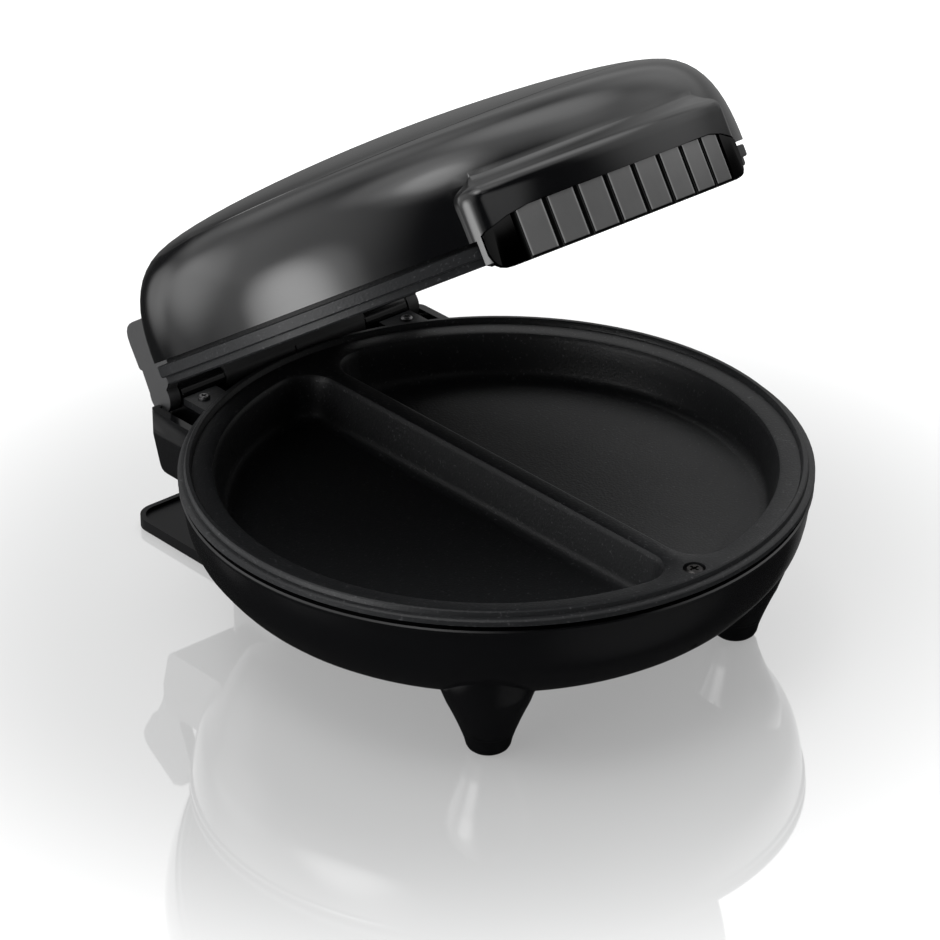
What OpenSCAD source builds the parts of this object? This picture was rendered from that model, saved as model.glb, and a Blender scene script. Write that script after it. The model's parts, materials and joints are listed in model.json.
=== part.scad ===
// Electric omelette maker with a hinged lid and two half-moon pockets.
// The origin is on the table, under the centre of the round plates.
// The handle faces -Y, the hinge is at +Y, and +Z is up.

/* [Body] */
// Radius of the base bowl at its rim
body_r = 104.8; // [100:0.2:108]
// Height of the bowl's rim above the table
rim_z = 57.4; // [55:0.2:62]
// Wall thickness of the base mouldings
wall = 2.4; // [2:0.1:2.8]
// Distance of each front foot from the centre line
foot_x = 54.6; // [48:0.2:58]
// Distance of the front feet in front of the centre
foot_y = 58.4; // [54:0.2:62]
// Half width of the flat rear stand
stand_half_w = 50; // [46:0.5:60]
// Distance of the stand's rear edge behind the centre
stand_y = 136; // [126:1:142]

/* [Plates] */
// Depth of each half-moon pocket in the lower plate
lower_depth = 16; // [13:0.5:17]
// Depth of each half-moon pocket in the upper plate
upper_depth = 12; // [8:0.5:14]
// Width of the bar between the two pockets
divider_w = 7.2; // [6:0.2:9]
// Radius of the pockets' corners in plan
pocket_corner_r = 11; // [9:0.5:14]
// Gap between the two plates' rims when the lid is down
plate_gap = 1; // [0.6:0.1:1.2]

/* [Lid] */
// Angle that the lid stands open at rest
lid_open = 32.5; // [0:0.5:100]
// Height of the dome above the lid's rim
lid_rise = 42.8; // [40:0.2:46]
// Thickness of the dome's wall, top panel included
lid_wall = 3.4; // [3.2:0.1:3.8]
// Thickness of the inlaid top panel
panel_t = 1.6; // [1.4:0.1:1.8]
// Width of the groove round the top panel
panel_groove = 0.5; // [0.3:0.1:0.8]

/* [Handle] */
// Half angle of the handle housing about the centre
handle_half_angle = 27.5; // [24:0.5:29]
// How far the handle housing stands out from the dome
handle_depth = 8.2; // [7.8:0.1:8.6]
// Number of grooves in the ribbed grip
groove_count = 9; // [7:2:11]
// Radius of each groove
groove_r = 1.1; // [0.8:0.1:1.2]

/* [Hinge] */
// Radius of the hinge barrel
barrel_r = 5.6; // [5.2:0.1:5.8]
// Radius of the hinge pin
pin_r = 2; // [1.6:0.1:2.2]
// Radial clearance between the pin and what turns on it
pin_play = 0.05; // [0.03:0.01:0.08]

/* [Hidden] */
$fn = 96;

black_gloss = [0.035, 0.035, 0.038];
black_matte = [0.12, 0.12, 0.125];
nonstick = [0.2, 0.2, 0.21];
steel = [0.72, 0.72, 0.74];

// Heights in the base
belly_z = rim_z - 39;
seat_z = rim_z + 1.6;
plate_t = 2.6;
land_z = seat_z + plate_t;
ring_h = 1.9;
ring_z = land_z + ring_h;
lower_floor_z = land_z - lower_depth;
lower_under_z = lower_floor_z - plate_t;
block_top_z = rim_z + 1.5;

// Heights in the closed lid
upper_ring_z = ring_z + plate_gap;
upper_land_z = upper_ring_z + 0.6;
lid_z = upper_ring_z + 8;
upper_roof_z = upper_land_z + upper_depth;
upper_over_z = upper_roof_z + plate_t;
frame_z = lid_z + 0.2;
frame_t = 2.8;

// Radii
skirt_r = body_r + 0.2;
stance_y = (skirt_r - stand_y) / 2;
lid_r = body_r - 2.2;
band_r = lid_r - 0.5;
edge_r = lid_r - 2;
pocket_r = body_r - 11.8;
screw_r = pocket_r + 2.4;
frame_out_r = lid_r - lid_wall - 0.3;
frame_in_r = pocket_r + 3.2;
panel_r = body_r - 16.4;
panel_y = 11;

// Hinge
hinge_y = body_r + 4.8;
hinge_z = rim_z + 3.6;
knuckle_mid = 31;
knuckle_end = 50;
knuckle_gap = 0.6;
cheek_t = 4.6;
cheek_r = 5.6;
cheek_x = knuckle_end + 0.5;
block_half_w = 60;
block_y = hinge_y + 0.8;
block_z = rim_z - 22;
block_wall = 3;
tab_half_w = knuckle_end;
tab_y = hinge_y - barrel_r - 0.7;

// Plate ears and screws
ear_x = tab_half_w - 5.2;
ear_y = tab_y - 4.6;
heater_r = 58;
heater_tube_r = 3.2;
heater_half_gap = 24;

// Handle
handle_mid_r = lid_r - 3;
handle_r = handle_mid_r + handle_depth;
visor_z = lid_z + 5.2;
brow_z = lid_z + 13.6;
brow_top_z = lid_z + 20;
grip_in_r = skirt_r + 0.5;
grip_out_r = handle_r - 0.5;
grip_step_r = lid_r + 1;
grip_bottom_z = lid_z - 11.1;
grip_half_w = grip_out_r * sin(handle_half_angle + 2);
lamp_x = 8;
lamp_y = 8;
corner_step = 0.03;
far = 300;

// A cubic curve through p[0] and p[3], drawn towards p[1] and p[2]
function curve(p, n = 10) = [
    for (i = [0:n])
        let (t = i / n, s = 1 - t)
        s * s * s * p[0] + 3 * s * s * t * p[1] + 3 * s * t * t * p[2] + t * t * t * p[3]
];

// The base is drawn round the bowl's centre line, and the origin is under
// the middle of the whole footprint
module base_pose() {
    translate([0, stance_y, 0])
        children();
}

// Turns the closed lid to its rest angle about the hinge
module lid_pose() {
    translate([0, stance_y + hinge_y, hinge_z])
        rotate([-lid_open, 0, 0])
            translate([0, -hinge_y, -hinge_z])
                children();
}

// A flat rectangle with round corners
module round_rect(w, h, r) {
    square([w - 2 * r, h], center = true);
    square([w, h - 2 * r], center = true);
    for (x = [-1, 1])
        for (y = [-1, 1])
            translate([x * (w / 2 - r), y * (h / 2 - r)])
                circle(r);
}

// A straight slot with round ends
module slot(length, width) {
    square([length - width, width], center = true);
    for (x = [-1, 1])
        translate([x * (length - width) / 2, 0])
            circle(width / 2);
}

module both_sides() {
    children();
    mirror([1, 0, 0])
        children();
}

// A solid with a half-moon plan: r is the arc, edge the straight side's
// distance from the centre line, and each wall point is [inset, height]
module half_moon(r, edge, corner, walls) {
    low = min([for (w = walls) w[1]]);
    high = max([for (w = walls) w[1]]);
    first = walls[0][1];
    last = walls[len(walls) - 1][1];
    cx = edge + corner;
    cy = sqrt(pow(r - corner, 2) - cx * cx);
    turn = atan2(cy, cx);
    difference() {
        intersection() {
            rotate_extrude()
                polygon(concat([[0, first]], [for (w = walls) [r - w[0], w[1]]], [[0, last]]));
            rotate([90, 0, 0])
                linear_extrude(far, center = true)
                    polygon(concat(
                        [[far, first]], [for (w = walls) [edge + w[0], w[1]]], [[far, last]]
                    ));
        }
        for (s = [-1, 1])
            translate([0, 0, low - 1])
                linear_extrude(high - low + 2)
                    polygon([
                        [cx, s * cy], [cx - far, s * cy], [cx - far, s * (cy + far)],
                        [cx + far * cos(turn), s * (cy + far * sin(turn))]
                    ]);
    }
    for (s = [-1, 1])
        translate([cx, s * cy, 0])
            rotate([0, 0, s > 0 ? turn - 2 : 178])
                rotate_extrude(angle = 184 - turn)
                    polygon(concat(
                        [[0, first]],
                        [for (w = walls) [corner - w[0] - corner_step, w[1]]],
                        [[0, last]]
                    ));
}

// Wall points of a pocket: rounded lip, drafted side and filleted floor
function pocket_walls(lip_z, up, depth) = [
    [6.4, lip_z - up * depth], [4.6, lip_z - up * (depth - 0.35)],
    [3.1, lip_z - up * (depth - 1.5)], [2.3, lip_z - up * (depth - 3.4)],
    [0.5, lip_z - up * 2.4], [0.1, lip_z - up * 1.2], [-0.4, lip_z - up * 0.4],
    [-1.3, lip_z], [-1.3, lip_z + up * 6]
];

module pocket_pair(r, edge, corner, walls) {
    both_sides()
        half_moon(r, edge, corner, walls);
}

// The casting behind a pair of pockets
module tub_pair(under_z, land, up) {
    pocket_pair(pocket_r + plate_t, divider_w / 2 - plate_t, pocket_corner_r + plate_t, [
        [4, under_z], [1.2, under_z + up * 1.4], [0, under_z + up * 4.5], [0, land - up * 1]
    ]);
    rib_half_l = pocket_r - pocket_corner_r;
    translate([-2, -rib_half_l, min(land, under_z + up * 5)])
        cube([4, 2 * rib_half_l, abs(land - under_z) - 5]);
}

// A screw with its head's top at the origin, pointing down
module screw(head_r, head_h, shank_r, length) {
    difference() {
        union() {
            rotate_extrude()
                polygon([
                    [0, 0], [head_r * 0.72, 0], [head_r, -head_h * 0.45],
                    [head_r, -head_h], [0, -head_h]
                ]);
            translate([0, 0, -length])
                cylinder(h = length - head_h / 2, r = shank_r);
        }
        for (a = [0, 90])
            rotate([0, 0, a])
                cube([head_r * 1.1, head_r * 0.28, head_h], center = true);
    }
}

// Base

module bowl_outer() {
    rotate_extrude()
        polygon(concat(
            [[0, belly_z]],
            curve([
                [body_r - 42, belly_z], [body_r - 20, belly_z + 0.5],
                [body_r - 12, belly_z + 10], [body_r - 6, belly_z + 18.5]
            ], 12),
            curve([
                [body_r - 5.4, belly_z + 19.3], [body_r - 3.2, belly_z + 22.2],
                [body_r - 1.4, belly_z + 28], [body_r - 0.9, rim_z - 2.2]
            ], 8),
            [
                [body_r - 0.2, rim_z - 1.7], [body_r, rim_z - 1], [body_r, rim_z - 0.5],
                [body_r - 0.5, rim_z], [body_r - 3, rim_z], [body_r - 3, seat_z], [0, seat_z]
            ]
        ));
}

module bowl_inner() {
    rotate_extrude()
        polygon(concat(
            [[0, belly_z + wall]],
            curve([
                [body_r - 42, belly_z + wall], [body_r - 22, belly_z + 0.5 + wall],
                [body_r - 14, belly_z + 11.5], [body_r - 8.6, belly_z + 19.5]
            ], 8),
            [
                [body_r - 1.2 - wall, rim_z - 10], [body_r - 1.2 - wall, rim_z - 7],
                [body_r - 7, rim_z - 4], [body_r - 7, seat_z + 1], [0, seat_z + 1]
            ]
        ));
}

module front_foot() {
    rotate_extrude()
        polygon(concat(
            [[0, 0]],
            curve([[3.6, 0], [6, 0], [7.3, 1], [7.7, 3.6]], 5),
            curve([[7.9, 4.6], [9.4, 9], [11.4, 14], [14, belly_z + 1]], 6),
            [[16.2, belly_z + 7], [16.2, belly_z + 17], [0, belly_z + 17]]
        ));
}

// The block behind the bowl that holds the hinge, with drafted sides
module hinge_block() {
    intersection() {
        rotate([90, 0, 90])
            linear_extrude(far, center = true)
                polygon(concat(
                    [[body_r - 44, block_top_z]],
                    curve([
                        [block_y - 2, block_top_z], [block_y - 0.4, block_top_z],
                        [block_y, block_top_z - 0.4], [block_y - 0.2, block_top_z - 2]
                    ], 4),
                    curve([
                        [block_y - 3.4, block_z + 3.4], [block_y - 3.8, block_z + 1],
                        [block_y - 4.6, block_z], [block_y - 7, block_z]
                    ], 4),
                    [[body_r - 44, block_z]]
                ));
        rotate([90, 0, 0])
            linear_extrude(far, center = true)
                polygon([
                    [-block_half_w, block_top_z], [block_half_w, block_top_z],
                    [block_half_w - 2, block_z], [2 - block_half_w, block_z]
                ]);
        linear_extrude(far)
            translate([0, block_y - 50])
                round_rect(2 * block_half_w, 100, 4);
    }
}

module rear_stand() {
    stand_l = stand_y - 62;
    translate([0, stand_y - stand_l / 2, 0])
        difference() {
            linear_extrude(4)
                round_rect(2 * stand_half_w, stand_l, 8);
            translate([0, 0, 2.6])
                linear_extrude(4)
                    round_rect(2 * stand_half_w - 3.6, stand_l - 3.6, 6.5);
        }
    translate([0, 78, 0])
        linear_extrude(belly_z + 10)
            round_rect(84, 32, 6);
}

module base_knuckles() {
    both_sides() {
        translate([knuckle_mid + knuckle_gap / 2, hinge_y, hinge_z])
            rotate([0, 90, 0])
                cylinder(h = knuckle_end - knuckle_mid - knuckle_gap, r = barrel_r);
        translate([knuckle_mid + knuckle_gap / 2, hinge_y - barrel_r, block_top_z - 4])
            cube([knuckle_end - knuckle_mid - knuckle_gap, barrel_r - 1.5, hinge_z - block_top_z + 4]);
    }
}

module base_hollows() {
    bowl_inner();
    // Wiring space in the hinge block and in the rear leg
    translate([-44, 70, block_z + wall])
        cube([88, block_y - 74, block_top_z - block_z - 2 * wall]);
    translate([0, 78, wall])
        linear_extrude(belly_z + 4)
            round_rect(84 - 2 * wall, 32 - 2 * wall, 4);
    // Room for the turning parts of the hinge
    translate([-knuckle_mid, hinge_y - barrel_r - 1.2, hinge_z - barrel_r - 0.8])
        cube([2 * knuckle_mid, 20, 20]);
    both_sides() {
        translate([knuckle_end, hinge_y - cheek_r - 0.8, hinge_z - cheek_r - 1])
            cube([cheek_t + 1.2, 20, 20]);
        translate([tab_half_w + 0.2, body_r - 20.7, rim_z - 10])
            cube([block_half_w - tab_half_w - block_wall - 0.2, block_y - body_r + 18, 20]);
    }
    // Mains lead entry in the back of the block
    translate([0, block_y, rim_z - 13])
        rotate([90, 0, 0])
            cylinder(h = 12, r = 5, center = true);
    // Air slots under the bowl
    for (a = [0:30:150])
        rotate([0, 0, 195 + a])
            translate([44, 0, belly_z - 1])
                linear_extrude(wall + 2)
                    slot(16, 2.6);
}

module base_bosses() {
    translate([0, -screw_r, belly_z + 6])
        cylinder(h = seat_z - belly_z - 6, r = 4.2);
}

module base_housing() {
    color(black_gloss) base_pose()
        difference() {
            union() {
                difference() {
                    union() {
                        bowl_outer();
                        both_sides()
                            translate([foot_x, -foot_y, 0])
                                front_foot();
                        hinge_block();
                        rear_stand();
                    }
                    base_hollows();
                }
                intersection() {
                    base_bosses();
                    bowl_outer();
                }
                base_knuckles();
            }
            translate([0, -screw_r, belly_z + 14])
                cylinder(h = far, r = 1.3);
            both_sides()
                translate([ear_x, ear_y, rim_z - 12])
                    cylinder(h = far, r = 1.1);
            translate([0, hinge_y, hinge_z])
                rotate([0, 90, 0])
                    cylinder(h = far, r = pin_r, center = true);
        }
}

module lower_plate() {
    color(nonstick) base_pose()
        difference() {
            union() {
                difference() {
                    rotate_extrude()
                        polygon([
                            [0, seat_z], [body_r - 2.6, seat_z], [body_r - 2.4, seat_z + 0.2],
                            [skirt_r - 0.2, seat_z + 0.2], [skirt_r, seat_z + 0.4],
                            [skirt_r, land_z - 0.7], [skirt_r - 0.4, land_z - 0.3],
                            [skirt_r - 1.2, land_z - 0.1], [skirt_r - 2, land_z],
                            [skirt_r - 2.3, ring_z - 0.4], [skirt_r - 2.7, ring_z],
                            [skirt_r - 3.9, ring_z], [skirt_r - 4.3, ring_z - 0.4],
                            [skirt_r - 4.8, land_z], [0, land_z]
                        ]);
                    // Straight back edge in front of the hinge barrel
                    translate([-tab_half_w, tab_y, seat_z - 1])
                        cube([2 * tab_half_w, 20, 10]);
                }
                tub_pair(lower_under_z, land_z, 1);
                // Square corners that carry the rear screws
                both_sides()
                    translate([tab_half_w - 14, 60, seat_z])
                        cube([14, tab_y - 60, plate_t]);
                // Stud that holds the reflector
                translate([0, 0, lower_under_z - 7])
                    cylinder(h = 14, r = 4);
            }
            pocket_pair(pocket_r, divider_w / 2, pocket_corner_r,
                pocket_walls(land_z, 1, lower_depth));
            translate([0, -screw_r, seat_z + 0.6])
                cylinder(h = 10, r = 3.7);
            translate([0, -screw_r, seat_z - 1])
                cylinder(h = 10, r = 1.7);
            both_sides()
                translate([ear_x, ear_y, seat_z - 1])
                    cylinder(h = 10, r = 1.5);
            translate([0, 0, lower_under_z - 8])
                cylinder(h = 11, r = 1.2);
        }
}

// A tubular heating element bent into a horseshoe, with its cold ends
module heater(z) {
    open = asin(heater_half_gap / heater_r);
    leg = heater_r * cos(open);
    color(steel)
        translate([0, 0, z]) {
            rotate([0, 0, 90 + open])
                rotate_extrude(angle = 360 - 2 * open)
                    translate([heater_r, 0])
                        circle(heater_tube_r);
            for (s = [-1, 1])
                translate([s * heater_half_gap, leg, 0])
                    rotate([-90, 0, 0])
                        cylinder(h = 8, r = 1.6);
        }
}

module lower_heater() {
    base_pose()
        heater(lower_under_z - heater_tube_r);
}

// A shallow pressed dish with its rim turned towards the heater
module reflector(z, up) {
    color(steel)
        difference() {
            rotate_extrude()
                polygon([
                    [0, z], [74, z], [78, z + up * 3.4], [82, z + up * 3.4],
                    [82, z + up * 4.2], [77.6, z + up * 4.2], [73.6, z + up * 0.8],
                    [0, z + up * 0.8]
                ]);
            cylinder(h = far, r = 1.8, center = true);
            for (a = [45:90:315])
                rotate([0, 0, a])
                    translate([40, 0, z - 10])
                        linear_extrude(20)
                            slot(18, 5);
        }
}

module lower_reflector() {
    base_pose()
        reflector(lower_under_z - 7.8, 1);
}

module lower_reflector_screw() {
    color(steel) base_pose()
        translate([0, 0, lower_under_z - 9.8])
            mirror([0, 0, 1])
                screw(3.4, 2, 1.2, 8);
}

module lower_front_screw() {
    color(black_gloss) base_pose()
        translate([0, -screw_r, land_z - 0.1])
            screw(3.2, 1.7, 1.3, 16);
}

module lower_rear_screws() {
    color(steel) base_pose()
        both_sides()
            translate([ear_x, ear_y, land_z + 1.1])
                screw(2.1, 1.1, 1.1, 12);
}

// A disc thermostat clamped under the plate, with its two tabs
module thermostat() {
    color([0.75, 0.68, 0.5]) base_pose()
        translate([-26, 26, lower_under_z]) {
            mirror([0, 0, 1])
                cylinder(h = 4.6, r = 8);
            for (s = [-1, 1])
                translate([s * 9 - 3, -2.4, -3.2])
                    cube([6, 4.8, 0.8]);
        }
}

// A thermal cut-out in its clip against the plate
module thermal_fuse() {
    color([0.8, 0.8, 0.82]) base_pose()
        translate([26, 20, lower_under_z - 2.1])
            rotate([-90, 0, 0]) {
                cylinder(h = 12, r = 2.1);
                translate([0, 0, -6])
                    cylinder(h = 24, r = 0.6);
            }
}

module terminal_block() {
    color([0.92, 0.92, 0.88]) base_pose()
        difference() {
            translate([-17, 71, wall + 0.01])
                cube([34, 14, 12]);
            for (x = [-12, -4, 4, 12])
                translate([x, 78, 0]) {
                    rotate([90, 0, 0])
                        translate([0, 8, 0])
                            cylinder(h = 20, r = 1.8, center = true);
                    translate([0, 0, 11])
                        cylinder(h = 10, r = 1.6);
                }
        }
}

// The rubber bushing in the lead's entry
module cord_gland() {
    color(black_matte) base_pose()
        translate([0, block_y + 1.5, rim_z - 13])
            rotate([90, 0, 0])
                difference() {
                    union() {
                        cylinder(h = 7, r = 5);
                        cylinder(h = 2.6, r = 6.6);
                    }
                    translate([0, 0, -1])
                        cylinder(h = 9, r = 3.3);
                }
}

module hinge_pin() {
    color(steel) base_pose()
        translate([-cheek_x - cheek_t + 1, hinge_y, hinge_z])
            rotate([0, 90, 0])
                cylinder(h = 2 * (cheek_x + cheek_t) - 1.6, r = pin_r);
}

// Lid, drawn closed and turned to its rest angle

// The dome's solid shape, with its surface moved inwards by d
module dome(d, steps = 6) {
    rotate_extrude()
        polygon(concat(
            [[0, lid_z]],
            curve([
                [lid_r - d, lid_z], [lid_r - d, lid_z + 14 - 0.2 * d],
                [lid_r - 2 - d, lid_z + 30 - d],
                [lid_r - 17.9 - 0.55 * d, lid_z + lid_rise - 8 - d]
            ], steps),
            curve([
                [lid_r - 19 - 0.54 * d, lid_z + lid_rise - 7.66 - d],
                [lid_r - 34.4 - 0.3 * d, lid_z + lid_rise - 2.8 - d],
                [30, lid_z + lid_rise - d], [0, lid_z + lid_rise - d]
            ], steps)
        ));
}

// Section of the handle housing, measured outwards from its own middle line
function handle_section(z0) = concat(
    [[0, z0], [handle_depth - 1, z0], [handle_depth, z0 + 1]],
    curve([
        [handle_depth, brow_z - 2.4], [handle_depth, brow_z + 0.4],
        [handle_depth - 0.8, brow_z + 1.4], [handle_depth - 2.6, brow_z + 2.4]
    ], 4),
    curve([
        [handle_depth - 3.4, brow_z + 2.8], [handle_depth - 5.4, brow_z + 3.9],
        [1, brow_top_z - 1.4], [0, brow_top_z]
    ], 4)
);

// The handle housing bends round the dome and ends in two half-round posts
module handle_form() {
    z0 = grip_bottom_z + 2.2;
    rotate([0, 0, 270 - handle_half_angle])
        rotate_extrude(angle = 2 * handle_half_angle)
            translate([handle_mid_r, 0])
                polygon(concat(
                    [[-7, z0]],
                    [for (p = handle_section(z0))
                        [p[0] - corner_step, p[1] - (p[1] > visor_z ? corner_step : 0)]],
                    [[-7, brow_top_z - corner_step]]
                ));
    for (s = [-1, 1])
        rotate([0, 0, 270 + s * handle_half_angle])
            translate([handle_mid_r, 0, 0])
                rotate_extrude()
                    polygon(handle_section(z0));
}

// The grip's outline as seen from the front, extruded along Y
module grip_front(grow) {
    half_w = grip_half_w + grow;
    low = grip_bottom_z - grow;
    high = visor_z + grow;
    translate([0, -far / 5, 0])
        rotate([90, 0, 0])
            linear_extrude(far / 5)
                polygon(concat(
                    curve([
                        [half_w - 6, low], [half_w - 2.4, low],
                        [half_w - 0.3, low + 2], [half_w, low + 6]
                    ], 5),
                    [[half_w, high - 4.4], [half_w - 0.8, high - 3.6]],
                    [[half_w - 8, high - 1.2], [half_w - 15, high]],
                    [[15 - half_w, high], [8 - half_w, high - 1.2]],
                    [[0.8 - half_w, high - 3.6], [-half_w, high - 4.4]],
                    curve([
                        [-half_w, low + 6], [0.3 - half_w, low + 2],
                        [2.4 - half_w, low], [6 - half_w, low]
                    ], 5)
                ));
}

// The seat that the grip fills, with a little play
module grip_seat() {
    intersection() {
        rotate_extrude()
            polygon([
                [grip_step_r - 0.25, lid_z - 20], [grip_out_r + 10, lid_z - 20],
                [grip_out_r + 10, brow_z], [grip_step_r - 0.25, brow_z]
            ]);
        grip_front(0.25);
    }
}

module lid_screw_points() {
    for (s = [-1, 1])
        translate([0, s * screw_r, 0])
                children();
}

module lens_points() {
    for (s = [-1, 1])
        translate([s * lamp_x, lamp_y, 0])
            children();
}

module panel_plan(r) {
    translate([0, panel_y, lid_z + 1])
        cylinder(h = far, r = r);
}

module lid_cover() {
    color(black_gloss)
        lid_pose()
            difference() {
                union() {
                    difference() {
                        union() {
                            dome(0, 12);
                            handle_form();
                        }
                        // The handle's lower edge hangs clear outside both plates
                        translate([0, 0, -far + lid_z])
                            cylinder(h = far, r = grip_in_r);
                        dome(lid_wall);
                        // Hollow of the handle
                        rotate([0, 0, 270 - handle_half_angle + 2])
                            rotate_extrude(angle = 2 * handle_half_angle - 4)
                                polygon([
                                    [lid_r - 12, lid_z + 9], [handle_r - 4, lid_z + 9],
                                    [handle_r - 4, brow_z - 1], [lid_r - 3, brow_z + 2],
                                    [lid_r - 12, brow_z + 2]
                                ]);
                    }
                    intersection() {
                        lid_screw_points()
                            translate([0, 0, frame_z + frame_t])
                                cylinder(h = 30, r = 3.6);
                        dome(1);
                    }
                }
                grip_seat();
                grip_pegs(0.1);
                // Windows for the hinge arms
                translate([-knuckle_mid, 70, lid_z - 1])
                    cube([2 * knuckle_mid, 60, frame_t + 1.6]);
                both_sides()
                    translate([cheek_x - 0.4, 60, lid_z - 1])
                        cube([cheek_t + 0.8, 60, frame_t + 1.6]);
                // Recess for the top panel
                intersection() {
                    difference() {
                        dome(-1);
                        dome(panel_t);
                    }
                    panel_plan(panel_r + panel_groove);
                }
                lens_points()
                    cylinder(h = far, r = 4);
                lid_screw_points()
                    cylinder(h = lid_z + 14, r = 1.3);
            }
}

module lid_panel() {
    color(black_gloss)
        lid_pose()
            difference() {
                intersection() {
                    difference() {
                        dome(0, 12);
                        dome(panel_t);
                    }
                    panel_plan(panel_r);
                }
                lens_points()
                    cylinder(h = far, r = 4);
            }
}

// Side view of a hinge arm: round cheek at the pin, standing lug above
module arm_outline() {
    front_y = sqrt(lid_r * lid_r - cheek_x * cheek_x) + 0.8;
    translate([hinge_y, hinge_z])
        circle(cheek_r);
    polygon(concat(
        [[front_y, frame_z], [hinge_y - 5, hinge_z + 1.4], [hinge_y, hinge_z],
         [hinge_y + 5.1, hinge_z + 0.8], [hinge_y + 4.4, frame_z - 1],
         [hinge_y + 5.4, frame_z - 0.4], [hinge_y + 5.7, frame_z + 0.4]],
        curve([
            [hinge_y + 5.7, lid_z + 9], [hinge_y + 5.7, lid_z + 14],
            [hinge_y + 3.4, lid_z + 15.8], [hinge_y - 1, lid_z + 15.8]
        ], 5),
        [[front_y + 3, lid_z + 15.8], [front_y, lid_z + 12]]
    ));
}

module lid_frame() {
    color(black_matte)
        lid_pose()
            difference() {
                union() {
                    translate([0, 0, frame_z])
                        linear_extrude(frame_t)
                            circle(frame_out_r);
                    both_sides() {
                        translate([cheek_x, 0, 0])
                            rotate([90, 0, 90])
                                linear_extrude(cheek_t)
                                    arm_outline();
                        translate([cheek_x, 76, frame_z])
                            cube([cheek_t, 18, frame_t]);
                        translate([knuckle_gap / 2, hinge_y, hinge_z])
                            rotate([0, 90, 0])
                                cylinder(h = knuckle_mid - knuckle_gap, r = barrel_r);
                    }
                    translate([-knuckle_mid + knuckle_gap / 2, frame_out_r - 6, frame_z])
                        cube([2 * knuckle_mid - knuckle_gap, hinge_y - frame_out_r + 7, frame_t]);
                    translate([-knuckle_mid + knuckle_gap / 2, hinge_y - barrel_r - 0.6, hinge_z])
                        cube([2 * knuckle_mid - knuckle_gap, barrel_r + 1, frame_z - hinge_z + 1]);
                }
                translate([-cheek_x - cheek_t + 1 - 0.2, hinge_y, hinge_z])
                    rotate([0, 90, 0])
                        cylinder(h = far, r = pin_r + pin_play);
                translate([0, 0, frame_z - 1])
                    cylinder(h = frame_t + 2, r = frame_in_r);
                lid_screw_points()
                    cylinder(h = far, r = 3.9);
            }
}

module upper_plate() {
    color(nonstick)
        lid_pose()
            difference() {
                union() {
                    rotate_extrude()
                        polygon([
                            [0, upper_land_z], [edge_r - 3.4, upper_land_z],
                            [edge_r - 3, upper_ring_z + 0.1], [edge_r - 2.6, upper_ring_z],
                            [edge_r - 0.5, upper_ring_z], [edge_r, upper_ring_z + 0.5],
                            [edge_r, lid_z - 5.4], [band_r - 0.4, lid_z - 5.3],
                            [band_r, lid_z - 4.9], [band_r, lid_z - 1.6],
                            [band_r - 0.4, lid_z - 1.3], [frame_out_r - 0.4, lid_z - 1.3],
                            [frame_out_r - 0.4, frame_z], [frame_in_r, frame_z],
                            [frame_in_r, upper_land_z + plate_t], [0, upper_land_z + plate_t]
                        ]);
                    tub_pair(upper_over_z, upper_land_z, -1);
                    translate([0, 0, upper_over_z - 2])
                        cylinder(h = 9, r = 4);
                    // Pads that reach the cover's bosses
                    lid_screw_points()
                        translate([0, 0, upper_land_z + 1])
                            cylinder(h = frame_z + frame_t - upper_land_z - 1, r = 3.6);
                }
                pocket_pair(pocket_r, divider_w / 2, pocket_corner_r,
                    pocket_walls(upper_land_z, -1, upper_depth));
                lid_screw_points() {
                    translate([0, 0, upper_land_z - 10])
                        cylinder(h = 11.4, r = 3.7);
                    cylinder(h = far, r = 1.7);
                }
                translate([0, 0, upper_over_z - 2])
                    cylinder(h = 20, r = 1.2);
            }
}

module upper_heater() {
    lid_pose()
        heater(upper_over_z + heater_tube_r);
}

module upper_reflector() {
    lid_pose()
        reflector(upper_over_z + 7.8, -1);
}

module upper_reflector_screw() {
    color(steel)
        lid_pose()
            translate([0, 0, upper_over_z + 9.8])
                screw(3.4, 2, 1.2, 8);
}

module upper_plate_screws() {
    color(black_gloss)
        lid_pose()
            lid_screw_points()
                translate([0, 0, upper_land_z + 0.1])
                    mirror([0, 0, 1])
                        screw(3.2, 1.3, 1.3, 16);
}

// Two pegs behind the grip that seat in the housing
module grip_pegs(grow) {
    for (s = [-1, 1])
        rotate([0, 0, 270 + s * 17])
            translate([grip_step_r - 2.4 - grow, 0, lid_z + 2.6])
                rotate([0, 90, 0])
                    cylinder(h = 4 + grow, r = 1.8 + grow);
}

module handle_grip() {
    pitch = 2 * (handle_half_angle - 4) / (groove_count - 1);
    color(black_gloss)
        lid_pose() {
            difference() {
                intersection() {
                    grip_front(0);
                    rotate_extrude()
                        polygon([
                            [grip_in_r, grip_bottom_z - 1], [grip_in_r + 0.3, grip_bottom_z - 1],
                            [grip_in_r + 0.3, grip_bottom_z],
                            [grip_out_r - 0.3, grip_bottom_z + 0.5],
                            [grip_out_r, grip_bottom_z + 1.2], [grip_out_r, visor_z + 1],
                            [grip_step_r, visor_z + 1], [grip_step_r, ring_z + 1.4],
                            [grip_in_r, ring_z]
                        ]);
                }
                for (i = [0:groove_count - 1])
                    rotate([0, 0, 270 + (i - (groove_count - 1) / 2) * pitch])
                        translate([grip_out_r + 0.1, 0, grip_bottom_z - 1])
                            cylinder(h = visor_z - grip_bottom_z + 2, r = groove_r, $fn = 24);
            }
            grip_pegs(0);
        }
}

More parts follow.
